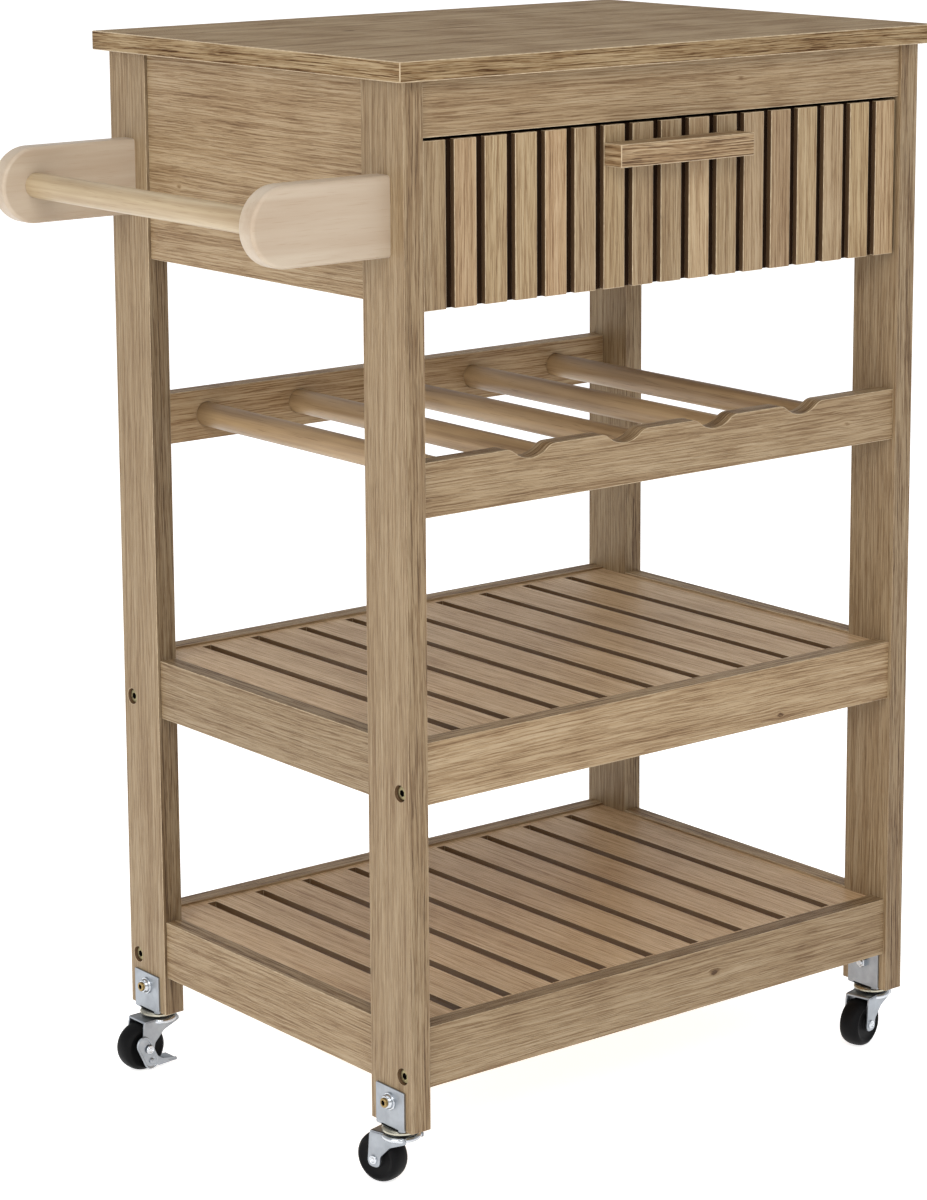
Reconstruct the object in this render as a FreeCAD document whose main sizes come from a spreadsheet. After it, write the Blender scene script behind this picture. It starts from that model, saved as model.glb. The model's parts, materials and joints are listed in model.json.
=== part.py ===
"""Kitchen island cart: slatted drawer, wine rack, two slotted shelves, towel bar, four casters.

Millimetres, +Z up. The origin is on the floor, at the middle of the cart's bounding box.
X runs along the cart (towel bar at -X), Y runs from the drawer front (-Y) to the back (+Y).
"""
import FreeCAD, Part
import math
import os
import re

import Sketcher

DOC = FreeCAD.newDocument("kitchen_island_cart")
SHEET = DOC.addObject("Spreadsheet::Sheet", "Sizes")

# Driving dimensions: alias, value in millimetres or degrees, meaning.
DIMENSIONS = (
    ("left_x", -204.25, "outer face of the left legs"),
    ("front_y", -188.5, "front face of the front legs"),
    ("foot_z", 50.5, "foot of the legs above the floor, the height of a caster"),
    ("body_length", 520, "over the legs, along X"),
    ("body_depth", 384, "over the legs, along Y"),
    ("leg_thick", 18, "leg, along X"),
    ("leg_depth", 50, "leg, along Y"),
    ("leg_height", 794, "leg, along Z"),
    ("top_thick", 15, "top board"),
    ("top_overhang", 10, "top board past the legs at the sides and the front"),
    ("top_overhang_back", 9, "top board past the back legs"),
    ("rail_thick", 16, "front and back rails, along Y"),
    ("rail_recess", 3, "rails behind the outer faces of the legs, along Y"),
    ("side_thick", 15.5, "side rails and side panels, along X"),
    ("side_recess", 2.5, "side rails and panels behind the legs, along X"),
    ("top_rail_height", 42, "rail over the drawer"),
    ("side_panel_height", 163, "side and back panels round the drawer"),
    ("back_panel_thick", 9, "back panel"),
    ("shelf_rail_height", 48, "rails round a shelf"),
    ("low_rail_z", 32, "lower shelf rails above the leg foot"),
    ("mid_rail_z", 254, "middle shelf rails above the leg foot"),
    ("panel_thick", 12, "slotted shelf panel"),
    ("panel_recess", 2, "shelf panel below the top of its rails"),
    ("slot_width", 9, "slot in a shelf panel"),
    ("slot_pitch", 48.8, "from one slot to the next"),
    ("slot_count", 9, "slots in a shelf panel"),
    ("slot_margin", 6, "panel left in front of and behind a slot"),
    ("wine_rail_z", 472.5, "wine rails above the leg foot"),
    ("wine_rail_height", 41.5, "wine rails"),
    ("bottle_pitch", 93, "from one bottle to the next"),
    ("notch_count", 4, "bottle notches"),
    ("notch_width", 38, "bottle notch at the top of the rail"),
    ("notch_drop", 8.5, "bottle notch below the top of the rail"),
    ("notch_lip", 12, "radius of the rounded lips of a bottle notch"),
    ("dowel_count", 5, "dowels of the wine rack"),
    ("dowel_radius", 10, "wine dowel"),
    ("tenon_depth", 8, "dowel or towel bar inside its socket"),
    ("socket_fit", 0.05, "radial play of a glued socket"),
    ("drawer_gap", 3, "drawer front to each leg"),
    ("drawer_front_z", 625.5, "drawer front above the leg foot"),
    ("drawer_front_height", 124, "drawer front"),
    ("drawer_front_recess", 4, "face of the slats behind the front of the legs"),
    ("slat_thick", 5, "slat on the drawer front"),
    ("slat_width", 20.6, "slat on the drawer front"),
    ("slat_count", 17, "slats on the drawer front"),
    ("front_thick", 12, "board behind the slats"),
    ("handle_length", 135, "drawer handle"),
    ("handle_depth", 20, "drawer handle, along Y"),
    ("handle_height", 17.5, "drawer handle"),
    ("handle_rise", 93.5, "handle above the lower edge of the drawer front"),
    ("drawer_side_thick", 12, "drawer side and back"),
    ("drawer_length", 330, "drawer box behind its front"),
    ("drawer_box_height", 95, "drawer side"),
    ("drawer_box_rise", 12.5, "drawer side above the lower edge of the front"),
    ("drawer_bottom_thick", 4, "drawer bottom"),
    ("drawer_bottom_rise", 4, "drawer bottom above the lower edge of a side"),
    ("runner_space", 12.5, "leg to drawer side, filled by the runners"),
    ("runner_height", 36, "cabinet runner"),
    ("runner_flange", 6, "cabinet runner, along X"),
    ("runner_wall", 1.2, "sheet of both runners"),
    ("runner_play", 0.4, "drawer runner inside the cabinet runner"),
    ("runner_length", 346, "cabinet runner"),
    ("runner_z", 667, "cabinet runner above the leg foot"),
    ("bracket_reach", 121.5, "towel bracket from the leg to its round end"),
    ("bracket_height", 60, "towel bracket, twice the radius of its end"),
    ("bracket_thick", 18, "towel bracket, along Y"),
    ("bracket_round", 3, "rounded edges of a towel bracket"),
    ("bracket_z", 665.7, "lower edge of the towel brackets above the leg foot"),
    ("bar_radius", 10, "towel bar"),
    ("bolt_rise", 11, "frame bolt above the lower edge of its rail"),
    ("bolt_head_radius", 5.6, "frame bolt"),
    ("bolt_head_height", 4, "frame bolt"),
    ("bolt_shank_radius", 3, "frame bolt and caster bolt"),
    ("bolt_shank_length", 36, "frame bolt under its head"),
    ("bolt_play", 0.3, "radial play of a bolt in its hole"),
    ("bolt_bore_radius", 6.6, "counterbore for a frame bolt"),
    ("bolt_bore_depth", 6, "counterbore for a frame bolt"),
    ("hex_radius", 2.9, "corners of a hexagon socket"),
    ("hex_depth", 2.5, "hexagon socket"),
    ("plate_thick", 1.8, "caster bracket sheet"),
    ("plate_width", 35, "caster bracket, along Y"),
    ("plate_rise", 31, "caster bracket above the leg foot"),
    ("caster_bolt_rise", 20, "caster bolt above the leg foot"),
    ("caster_head_radius", 4.8, "caster bolt head"),
    ("caster_head_height", 6.5, "caster bolt head"),
    ("washer_radius", 7, "caster bolt washer"),
    ("washer_thick", 1.4, "caster bolt washer"),
    ("nut_radius", 5.2, "caster bolt nut"),
    ("nut_height", 3.4, "caster bolt nut"),
    ("race_radius", 15, "fixed bearing race"),
    ("race_height", 4, "fixed bearing race"),
    ("king_radius", 3, "king pin"),
    ("rivet_radius", 5.5, "riveted end of the king pin"),
    ("pin_play", 0.05, "running fit of king pin, axle and brake lever"),
    ("fork_top_drop", 7, "top of the fork below the leg foot"),
    ("fork_top_thick", 2.5, "fork, top plate"),
    ("fork_disc_radius", 15.6, "fork, round part of the top plate"),
    ("fork_width", 23.2, "fork, over its cheeks"),
    ("fork_cheek", 1.6, "fork, sheet of a cheek"),
    ("fork_tail", 21.5, "fork, tail of the top plate behind the swivel axis"),
    ("fork_eye_radius", 6, "fork, round end of a cheek"),
    ("fork_nose", 13.6, "fork cheek in front of the swivel axis"),
    ("fork_skirt", 5, "fork cheek under the front of the top plate"),
    ("fork_neck_back", 13.2, "where the front edge of a cheek turns down, in front of the axle"),
    ("fork_neck_rise", 6, "the same point above the axle"),
    ("fork_throat_back", 21, "where that edge leaves the skirt, in front of the axle"),
    ("fork_throat_rise", 14.4, "the same point above the axle"),
    ("trail", 18.5, "wheel axle behind the swivel axis"),
    ("wheel_radius", 20, "wheel"),
    ("wheel_width", 18, "wheel"),
    ("wheel_shoulder", 16.2, "wheel radius at its side faces"),
    ("axle_radius", 2.5, "wheel axle"),
    ("axle_head_radius", 3.6, "wheel axle rivet head"),
    ("axle_head_thick", 1.2, "wheel axle rivet head"),
    ("lever_thick", 1.6, "brake lever sheet"),
    ("lever_play", 0.4, "brake lever to the fork cheek and to the axle head"),
    ("lever_radius", 7, "round ends of the brake lever"),
    ("lever_upper_back", 4.9, "middle of its upper end behind the axle"),
    ("lever_upper_rise", 4.55, "the same point above the axle"),
    ("lever_lower_front", 2.1, "middle of its lower end in front of the axle"),
    ("lever_lower_drop", 10.5, "the same point below the axle"),
    ("lever_side_across", 6.35, "from those middles to the straight sides, along X"),
    ("lever_side_drop", 2.95, "from those middles to the straight sides, along Z"),
    ("pedal_reach", 27.6, "front edge of the brake pedal in front of the axle"),
    ("pedal_drop", 15.4, "brake pedal below the axle"),
    ("pedal_arm", 2.45, "arm of the brake lever at the front edge of the pedal"),
    ("pedal_width", 17, "brake pedal, along the axle"),
)
ALIASES = {alias for alias, value, meaning in DIMENSIONS}

# Direction in which each caster trails at rest, in degrees from +X about +Z, and whether it brakes.
CASTERS = (
    ("front_left", 104, False),
    ("front_right", 193, False),
    ("back_left", 181, True),
    ("back_right", 172, True),
)
NODES = []


def fill_sheet():
    """Write every driving dimension and its meaning to the spreadsheet."""
    for row, (alias, value, meaning) in enumerate(DIMENSIONS, start=1):
        SHEET.set(f"A{row}", str(value))
        SHEET.setAlias(f"A{row}", alias)
        SHEET.set(f"B{row}", meaning)
    DOC.recompute()


def size(alias):
    """A driving dimension as a number."""
    return float(SHEET.get(alias))


def formula(text):
    """An expression in which each alias names its cell."""
    def cell(word):
        return "Sizes." + word.group() if word.group() in ALIASES else word.group()

    return re.sub(r"[a-z_]+", cell, text)


def number(text):
    """The value of such an expression, made of aliases, numbers, + - * / and brackets."""
    probe = DOC.getObject("Probe") or DOC.addObject("App::FeaturePython", "Probe")
    return float(probe.evalExpression(formula(text)))


def bind(item, **properties):
    """Bind properties of an object to expressions over the sheet."""
    for name, text in properties.items():
        item.setExpression(name, formula(text))


def place(item, x="0", y="0", z="0"):
    """Bind the position of an object."""
    for axis, text in (("x", x), ("y", y), ("z", z)):
        item.setExpression("Placement.Base." + axis, formula(text))


def node(item, label):
    """Name a finished piece and list it for export."""
    item.Label = label
    NODES.append(item)
    return item


# Part primitives ---------------------------------------------------------------------------------

def box(x, y, z, length, width, height):
    """A board given by its lowest corner and its sizes."""
    item = DOC.addObject("Part::Box", "Board")
    bind(item, Length=length, Width=width, Height=height)
    place(item, x, y, z)
    return item


TURNS = {
    "X": FreeCAD.Rotation(FreeCAD.Vector(0, 1, 0), 90),
    "Y": FreeCAD.Rotation(FreeCAD.Vector(1, 0, 0), -90),
    "Z": FreeCAD.Rotation(),
}


def cylinder(axis, x, y, z, radius, length):
    """A cylinder that starts at a point and runs along +X, +Y or +Z."""
    item = DOC.addObject("Part::Cylinder", "Round")
    bind(item, Radius=radius, Height=length)
    item.Placement = FreeCAD.Placement(FreeCAD.Vector(), TURNS[axis])
    place(item, x, y, z)
    return item


def compound(items):
    group = DOC.addObject("Part::Compound", "Group")
    group.Links = items
    return group


def cut(base, tools):
    """The base with every tool taken out of it."""
    item = DOC.addObject("Part::Cut", "Drilled")
    item.Base = base
    item.Tool = compound(tools)
    return item


def fuse(items):
    item = DOC.addObject("Part::MultiFuse", "Joined")
    item.Shapes = items
    return item


# PartDesign bodies -------------------------------------------------------------------------------

def new_body():
    return DOC.addObject("PartDesign::Body", "Body")


def sketch_on(body, plane, offset="0"):
    """An empty sketch on one of the body's own origin planes, moved along that plane's normal."""
    origin_plane = next(item for item in body.Origin.OriginFeatures if item.Role == plane)
    sketch = body.newObject("Sketcher::SketchObject", "Sketch")
    sketch.AttachmentSupport = (origin_plane, [""])
    sketch.MapMode = "FlatFace"
    sketch.setExpression("AttachmentOffset.Base.z", formula(offset))
    return sketch


def dimension(sketch, kind, geometry, point, text):
    """Tie one coordinate of a sketch point to an expression."""
    index = sketch.addConstraint(Sketcher.Constraint(kind, -1, 1, geometry, point, number(text)))
    sketch.setExpression(f"Constraints[{index}]", formula(text))


def polygon(sketch, corners):
    """A closed polygon whose corners are pairs of expressions."""
    points = [FreeCAD.Vector(number(across), number(up), 0) for across, up in corners]
    first = sketch.GeometryCount
    for start, end in zip(points, points[1:] + points[:1]):
        sketch.addGeometry(Part.LineSegment(start, end), False)
    for index in range(len(points)):
        following = (index + 1) % len(points)
        sketch.addConstraint(Sketcher.Constraint("Coincident", first + index, 2, first + following, 1))
    for index, (across, up) in enumerate(corners):
        dimension(sketch, "DistanceX", first + index, 1, across)
        dimension(sketch, "DistanceY", first + index, 1, up)


def rectangle(sketch, low_x, low_y, high_x, high_y):
    polygon(sketch, [(low_x, low_y), (high_x, low_y), (high_x, high_y), (low_x, high_y)])


def circle(sketch, across, up, radius):
    """A full circle at a pair of expressions."""
    centre = FreeCAD.Vector(number(across), number(up), 0)
    index = sketch.addGeometry(Part.Circle(centre, FreeCAD.Vector(0, 0, 1), number(radius)), False)
    dimension(sketch, "DistanceX", index, 3, across)
    dimension(sketch, "DistanceY", index, 3, up)
    constraint = sketch.addConstraint(Sketcher.Constraint("Radius", index, number(radius)))
    sketch.setExpression(f"Constraints[{constraint}]", formula(radius))


def pad(body, sketch, length, reverse=False, middle=False):
    """Extrude a sketch; along -Y planes, reverse makes it run towards +Y."""
    feature = body.newObject("PartDesign::Pad", "Pad")
    feature.Profile = sketch
    feature.Reversed = reverse
    feature.Midplane = middle
    bind(feature, Length=length)
    body.Tip = feature
    return feature


def pocket(body, sketch, length, reverse=False, middle=False):
    """Cut a sketch into the body, and check that it removes something."""
    DOC.recompute()
    before = body.Shape.Volume
    feature = body.newObject("PartDesign::Pocket", "Pocket")
    feature.Profile = sketch
    feature.Reversed = reverse
    feature.Midplane = middle
    bind(feature, Length=length)
    body.Tip = feature
    DOC.recompute()
    if body.Shape.Volume >= before:
        raise RuntimeError("a pocket removed nothing")
    return feature


def pattern_x(body, feature, sketch, pitch, count):
    """Repeat a feature along the sketch's horizontal axis."""
    pattern = body.newObject("PartDesign::LinearPattern", "Pattern")
    pattern.Originals = [feature]
    pattern.Direction = (sketch, ["H_Axis"])
    bind(pattern, Length=f"{pitch} * ({count} - 1)", Occurrences=count)
    body.Tip = pattern
    return pattern


# The frame ---------------------------------------------------------------------------------------

def make_top():
    top = box("left_x - top_overhang", "front_y - top_overhang", "foot_z + leg_height",
              "body_length + 2 * top_overhang", "body_depth + top_overhang + top_overhang_back", "top_thick")
    node(top, "top_board")


def leg_places():
    """Each leg's name, the X of its left face and the Y of its front face."""
    for end, y in (("front", "front_y"), ("back", "front_y + body_depth - leg_depth")):
        for side, x in (("left", "left_x"), ("right", "left_x + body_length - leg_thick")):
            yield end, side, x, y


def bolt_row(end):
    """The Y of the frame bolts: the middle of the front or back rails."""
    inset = "rail_recess + rail_thick / 2"
    return f"front_y + {inset}" if end == "front" else f"front_y + body_depth - ({inset})"


def make_legs():
    """Four legs, each with two counterbored bolt holes and one hole for its caster bolt."""
    for end, side, x, y in leg_places():
        leg = box(x, y, "foot_z", "leg_thick", "leg_depth", "leg_height")
        outer = x if side == "left" else f"{x} + leg_thick - bolt_bore_depth"
        tools = []
        for rail_z in ("low_rail_z", "mid_rail_z"):
            z = f"foot_z + {rail_z} + bolt_rise"
            tools.append(cylinder("X", x, bolt_row(end), z, "bolt_shank_radius + bolt_play", "leg_thick"))
            tools.append(cylinder("X", outer, bolt_row(end), z, "bolt_bore_radius", "bolt_bore_depth"))
        tools.append(cylinder("X", x, f"{y} + leg_depth / 2", "foot_z + caster_bolt_rise",
                              "bolt_shank_radius + bolt_play", "leg_thick"))
        node(cut(leg, tools), f"leg_{end}_{side}")


def long_rail(end, z, height):
    """A rail along X between the legs of one end."""
    y = "rail_recess" if end == "front" else "body_depth - rail_recess - rail_thick"
    return box("left_x + leg_thick", f"front_y + {y}", f"foot_z + {z}",
               "body_length - 2 * leg_thick", "rail_thick", height)


def side_board(side, z, height):
    """A rail or panel along Y between the front leg and the back leg of one side."""
    x = "side_recess" if side == "left" else "body_length - side_recess - side_thick"
    return box(f"left_x + {x}", "front_y + leg_depth", f"foot_z + {z}",
               "side_thick", "body_depth - 2 * leg_depth", height)


def make_drawer_surround():
    """Rail over the drawer, a panel at each side and one at the back."""
    node(long_rail("front", "leg_height - top_rail_height", "top_rail_height"), "top_front_rail")
    for side in ("left", "right"):
        node(side_board(side, "leg_height - side_panel_height", "side_panel_height"), f"side_panel_{side}")
    back = box("left_x + leg_thick", "front_y + body_depth - rail_recess - back_panel_thick",
               "foot_z + leg_height - side_panel_height", "body_length - 2 * leg_thick",
               "back_panel_thick", "side_panel_height")
    node(back, "back_panel")


def make_shelf(name, rail_z):
    """Four rails and a slotted panel; the long rails are drilled for the frame bolts."""
    for end in ("front", "back"):
        rail = long_rail(end, rail_z, "shelf_rail_height")
        depth = "bolt_bore_depth + bolt_shank_length - leg_thick + 2"
        z = f"foot_z + {rail_z} + bolt_rise"
        ends = ("left_x + leg_thick", f"left_x + body_length - leg_thick - ({depth})")
        tools = [cylinder("X", x, bolt_row(end), z, "bolt_shank_radius + bolt_play", depth) for x in ends]
        node(cut(rail, tools), f"{name}_rail_{end}")
    for side in ("left", "right"):
        node(side_board(side, rail_z, "shelf_rail_height"), f"{name}_rail_{side}")
    make_shelf_panel(name, rail_z)


def make_shelf_panel(name, rail_z):
    """A panel between the rails, with slots that run from front to back."""
    body = new_body()
    length = "(body_length - 2 * leg_thick)"
    depth = "(body_depth - 2 * rail_recess - 2 * rail_thick)"
    board = sketch_on(body, "XY_Plane")
    rectangle(board, f"-{length} / 2", "0", f"{length} / 2", depth)
    pad(body, board, "panel_thick")
    slot = sketch_on(body, "XY_Plane", "panel_thick")
    first = "-slot_pitch * (slot_count - 1) / 2"
    rectangle(slot, f"{first} - slot_width / 2", "slot_margin", f"{first} + slot_width / 2",
              f"{depth} - slot_margin")
    opening = pocket(body, slot, "panel_thick")
    pattern_x(body, opening, slot, "slot_pitch", "slot_count")
    place(body, "left_x + body_length / 2", "front_y + rail_recess + rail_thick",
          f"foot_z + {rail_z} + shelf_rail_height - panel_recess - panel_thick")
    node(body, f"{name}_shelf_panel")


# The wine rack -----------------------------------------------------------------------------------

def dowel_sockets(rail, plane_offset, reverse):
    """Blind sockets for the dowels, cut into a rail from one of its long faces."""
    sockets = sketch_on(rail, "XZ_Plane", plane_offset)
    first = "-bottle_pitch * (dowel_count - 1) / 2"
    circle(sockets, first, "wine_rail_height / 2", "dowel_radius + socket_fit")
    hole = pocket(rail, sockets, "tenon_depth", reverse=reverse)
    pattern_x(rail, hole, sockets, "bottle_pitch", "dowel_count")


def round_lips(rail, notches):
    """Round the two upper edges of each bottle notch."""
    DOC.recompute()
    inside = number("body_length / 2 - leg_thick") - 1
    lips = [f"Edge{index}" for index, edge in enumerate(notches.Shape.Edges, start=1)
            if edge.BoundBox.XLength < 0.001 and edge.BoundBox.ZLength < 0.001
            and abs(edge.CenterOfMass.z - size("wine_rail_height")) < 0.001
            and abs(edge.CenterOfMass.x) < inside]
    if len(lips) != 2 * int(size("notch_count")):
        raise RuntimeError("the notches do not have two lips each")
    rounded = rail.newObject("PartDesign::Fillet", "Rounded")
    rounded.Base = (notches, lips)
    bind(rounded, Radius="notch_lip")
    rail.Tip = rounded


def make_wine_rail(end):
    """A wine rail with a dowel socket for each dowel; the front one also has the bottle notches."""
    body = new_body()
    face = sketch_on(body, "XZ_Plane")
    length = "(body_length - 2 * leg_thick)"
    rectangle(face, f"-{length} / 2", "0", f"{length} / 2", "wine_rail_height")
    pad(body, face, "rail_thick", reverse=True)
    if end == "front":
        dowel_sockets(body, "-rail_thick", reverse=True)
        notch = sketch_on(body, "XZ_Plane")
        radius = "((notch_width / 2) * (notch_width / 2) / notch_drop + notch_drop) / 2"
        circle(notch, "-bottle_pitch * (notch_count - 1) / 2", f"wine_rail_height - notch_drop + {radius}",
               radius)
        scoop = pocket(body, notch, "rail_thick")
        round_lips(body, pattern_x(body, scoop, notch, "bottle_pitch", "notch_count"))
    else:
        dowel_sockets(body, "0", reverse=False)
    y = "rail_recess" if end == "front" else "body_depth - rail_recess - rail_thick"
    place(body, "left_x + body_length / 2", f"front_y + {y}", "foot_z + wine_rail_z")
    node(body, f"wine_rail_{end}")


def make_wine_rack():
    for end in ("front", "back"):
        make_wine_rail(end)
    for index in range(int(size("dowel_count"))):
        x = f"left_x + body_length / 2 + bottle_pitch * ({index} - (dowel_count - 1) / 2)"
        dowel = cylinder("Y", x, "front_y + rail_recess + rail_thick - tenon_depth",
                         "foot_z + wine_rail_z + wine_rail_height / 2", "dowel_radius",
                         "body_depth - 2 * rail_recess - 2 * rail_thick + 2 * tenon_depth")
        node(dowel, f"wine_dowel_{index + 1}")


# The towel bar -----------------------------------------------------------------------------------

def rim_edges(shape, wall_x):
    """The curved or long edges of a bracket's two faces, except where it meets the leg."""
    names = []
    for index, edge in enumerate(shape.Edges, start=1):
        on_face = edge.BoundBox.YLength < 0.001
        if on_face and abs(edge.CenterOfMass.x - wall_x) > 0.1:
            names.append(f"Edge{index}")
    return names


def make_bracket(end):
    """A board with a round outer end, fixed to the outer face of a left leg."""
    body = new_body()
    arm = sketch_on(body, "XZ_Plane")
    rectangle(arm, "-bracket_reach + bracket_height / 2", "0", "0", "bracket_height")
    pad(body, arm, "bracket_thick", reverse=True)
    tip = sketch_on(body, "XZ_Plane")
    circle(tip, "-bracket_reach + bracket_height / 2", "bracket_height / 2", "bracket_height / 2")
    outline = pad(body, tip, "bracket_thick", reverse=True)
    DOC.recompute()
    rounded = body.newObject("PartDesign::Fillet", "Rounded")
    rounded.Base = (outline, rim_edges(outline.Shape, 0))
    bind(rounded, Radius="bracket_round")
    body.Tip = rounded
    inner = "-bracket_thick" if end == "front" else "0"
    socket = sketch_on(body, "XZ_Plane", inner)
    circle(socket, "-bracket_reach + bracket_height / 2", "bracket_height / 2", "bar_radius + socket_fit")
    pocket(body, socket, "tenon_depth", reverse=(end == "front"))
    leg_y = "front_y" if end == "front" else "front_y + body_depth - leg_depth"
    place(body, "left_x", f"{leg_y} + (leg_depth - bracket_thick) / 2", "foot_z + bracket_z")
    node(body, f"towel_bracket_{end}")


def make_towel_bar():
    for end in ("front", "back"):
        make_bracket(end)
    bar = cylinder("Y", "left_x - bracket_reach + bracket_height / 2",
                   "front_y + leg_depth / 2 + bracket_thick / 2 - tenon_depth",
                   "foot_z + bracket_z + bracket_height / 2", "bar_radius",
                   "body_depth - leg_depth - bracket_thick + 2 * tenon_depth")
    node(bar, "towel_bar")


# The drawer --------------------------------------------------------------------------------------

FRONT_LENGTH = "(body_length - 2 * leg_thick - 2 * drawer_gap)"
FRONT_X = "left_x + leg_thick + drawer_gap"
BACKING_Y = "front_y + drawer_front_recess + slat_thick"


def make_drawer_front():
    """A dark board, the upright slats on it and the bar handle on the slats."""
    backing = box(FRONT_X, BACKING_Y, "foot_z + drawer_front_z", FRONT_LENGTH, "front_thick",
                  "drawer_front_height")
    node(backing, "drawer_front")
    pitch = f"({FRONT_LENGTH} - slat_width) / (slat_count - 1)"
    slats = [box(f"{FRONT_X} + {index} * {pitch}", "front_y + drawer_front_recess", "foot_z + drawer_front_z",
                 "slat_width", "slat_thick", "drawer_front_height")
             for index in range(int(size("slat_count")))]
    node(compound(slats), "drawer_slats")
    handle = box("left_x + (body_length - handle_length) / 2", "front_y + drawer_front_recess - handle_depth",
                 "foot_z + drawer_front_z + handle_rise", "handle_length", "handle_depth", "handle_height")
    node(handle, "drawer_handle")


def make_drawer_box():
    """Two sides, a back and a bottom behind the drawer front."""
    side_z = "foot_z + drawer_front_z + drawer_box_rise"
    start_y = f"{BACKING_Y} + front_thick"
    sides = {"left": "left_x + leg_thick + runner_space",
             "right": "left_x + body_length - leg_thick - runner_space - drawer_side_thick"}
    for side, x in sides.items():
        node(box(x, start_y, side_z, "drawer_side_thick", "drawer_length", "drawer_box_height"),
             f"drawer_side_{side}")
    inner_x = f"{sides['left']} + drawer_side_thick"
    inner_length = "body_length - 2 * (leg_thick + runner_space + drawer_side_thick)"
    back_y = f"{start_y} + drawer_length - drawer_side_thick"
    node(box(inner_x, back_y, side_z, inner_length, "drawer_side_thick", "drawer_box_height"), "drawer_back")
    node(box(inner_x, start_y, f"{side_z} + drawer_bottom_rise", inner_length,
             "drawer_length - drawer_side_thick", "drawer_bottom_thick"), "drawer_bottom")


def channel(label, side, wall_x, opening, height, start, length, y, z):
    """A C-shaped sheet channel along Y; its wall is at wall_x and its flanges reach to opening."""
    body = new_body()
    section = sketch_on(body, "XZ_Plane")
    turn = "1" if side == "left" else "-1"
    inward = f"({wall_x} + {start} * runner_wall)"
    corners = [(wall_x, "0"), (opening, "0"), (opening, "runner_wall"), (inward, "runner_wall"),
               (inward, f"{height} - runner_wall"), (opening, f"{height} - runner_wall"),
               (opening, height), (wall_x, height)]
    polygon(section, [(f"{turn} * {across}", up) for across, up in corners])
    pad(body, section, length, reverse=True)
    wall = "left_x + leg_thick" if side == "left" else "left_x + body_length - leg_thick"
    place(body, wall, y, z)
    node(body, label)


def make_runners():
    """A cabinet channel on the legs of each side, with a drawer channel that slides inside it."""
    y = f"{BACKING_Y} + front_thick"
    for side in ("left", "right"):
        channel(f"runner_cabinet_{side}", side, "0", "runner_flange", "runner_height", "1",
                "runner_length", y, "foot_z + runner_z")
        channel(f"runner_drawer_{side}", side, "runner_space", "(runner_wall + runner_play)",
                "(runner_height - 2 * runner_wall - 2 * runner_play)", "-1", "drawer_length", y,
                "foot_z + runner_z + runner_wall + runner_play")


# Fasteners ---------------------------------------------------------------------------------------

def solid_rod(start, direction, radius, length):
    return Part.makeCylinder(radius, length, start, direction)


def hexagon_socket(start, direction):
    """The hexagonal prism that is cut out of a bolt head."""
    turn = FreeCAD.Rotation(FreeCAD.Vector(0, 0, 1), direction)
    corners = [FreeCAD.Vector(math.cos(math.radians(60 * step)), math.sin(math.radians(60 * step)), 0)
               * size("hex_radius") for step in range(7)]
    wire = Part.makePolygon([start + turn.multVec(corner) for corner in corners])
    return Part.Face(wire).extrude(direction * size("hex_depth"))


def frame_bolt(x, y, z, inward):
    """A socket-head bolt, its head on the floor of the counterbore."""
    direction = FreeCAD.Vector(inward, 0, 0)
    seat = FreeCAD.Vector(x, y, z) + direction * size("bolt_bore_depth")
    top = seat - direction * size("bolt_head_height")
    head = solid_rod(top, direction, size("bolt_head_radius"), size("bolt_head_height"))
    shank = solid_rod(seat, direction, size("bolt_shank_radius"), size("bolt_shank_length"))
    return head.fuse(shank).cut(hexagon_socket(top, direction))


def caster_bolt(x, y, z, inward):
    """A bolt through the caster bracket and the leg: washer and socket head outside, nut inside."""
    direction = FreeCAD.Vector(inward, 0, 0)
    plate = size("plate_thick")
    outer = FreeCAD.Vector(x, y, z) - direction * plate
    inner = FreeCAD.Vector(x, y, z) + direction * (size("leg_thick") + plate)
    top = outer - direction * size("caster_head_height")
    span = (inner - top).Length + size("nut_height")
    pieces = [
        solid_rod(outer - direction * size("washer_thick"), direction, size("washer_radius"),
                  size("washer_thick")),
        solid_rod(top, direction, size("caster_head_radius"), size("caster_head_height")),
        solid_rod(top, direction, size("bolt_shank_radius"), span),
        solid_rod(inner, direction, size("nut_radius"), size("nut_height")),
    ]
    bolt = pieces[0].multiFuse(pieces[1:]).removeSplitter()
    return bolt.cut(hexagon_socket(top, direction))


def make_fasteners():
    """Eight frame bolts and four caster bolts, each kind as one group of separate solids."""
    frame_bolts = []
    caster_bolts = []
    for end, side, x, y in leg_places():
        outer_x = number(x) if side == "left" else number(f"{x} + leg_thick")
        inward = 1 if side == "left" else -1
        for rail_z in ("low_rail_z", "mid_rail_z"):
            z = number(f"foot_z + {rail_z} + bolt_rise")
            frame_bolts.append(frame_bolt(outer_x, number(bolt_row(end)), z, inward))
        caster_bolts.append(caster_bolt(outer_x, number(f"{y} + leg_depth / 2"),
                                        number("foot_z + caster_bolt_rise"), inward))
    for label, bolts in (("frame_bolts", frame_bolts), ("caster_bolts", caster_bolts)):
        group = DOC.addObject("Part::Feature", "Fasteners")
        group.Shape = Part.makeCompound(bolts)
        node(group, label)


# Casters: each piece is drawn round its swivel axis, with the leg foot at Z = 0 and the wheel at +X.

def swivel_place(end, side):
    """X and Y of a caster's swivel axis: the middle of its leg."""
    for leg_end, leg_side, x, y in leg_places():
        if (leg_end, leg_side) == (end, side):
            return f"{x} + leg_thick / 2", f"{y} + leg_depth / 2"


def stand(item, caster, angle=0):
    """Turn a caster piece about its swivel axis and put it under its leg."""
    end, side = caster.split("_")
    x, y = swivel_place(end, side)
    item.Placement = FreeCAD.Placement(FreeCAD.Vector(), FreeCAD.Rotation(FreeCAD.Vector(0, 0, 1), angle))
    place(item, x, y, "foot_z")
    return item


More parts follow.
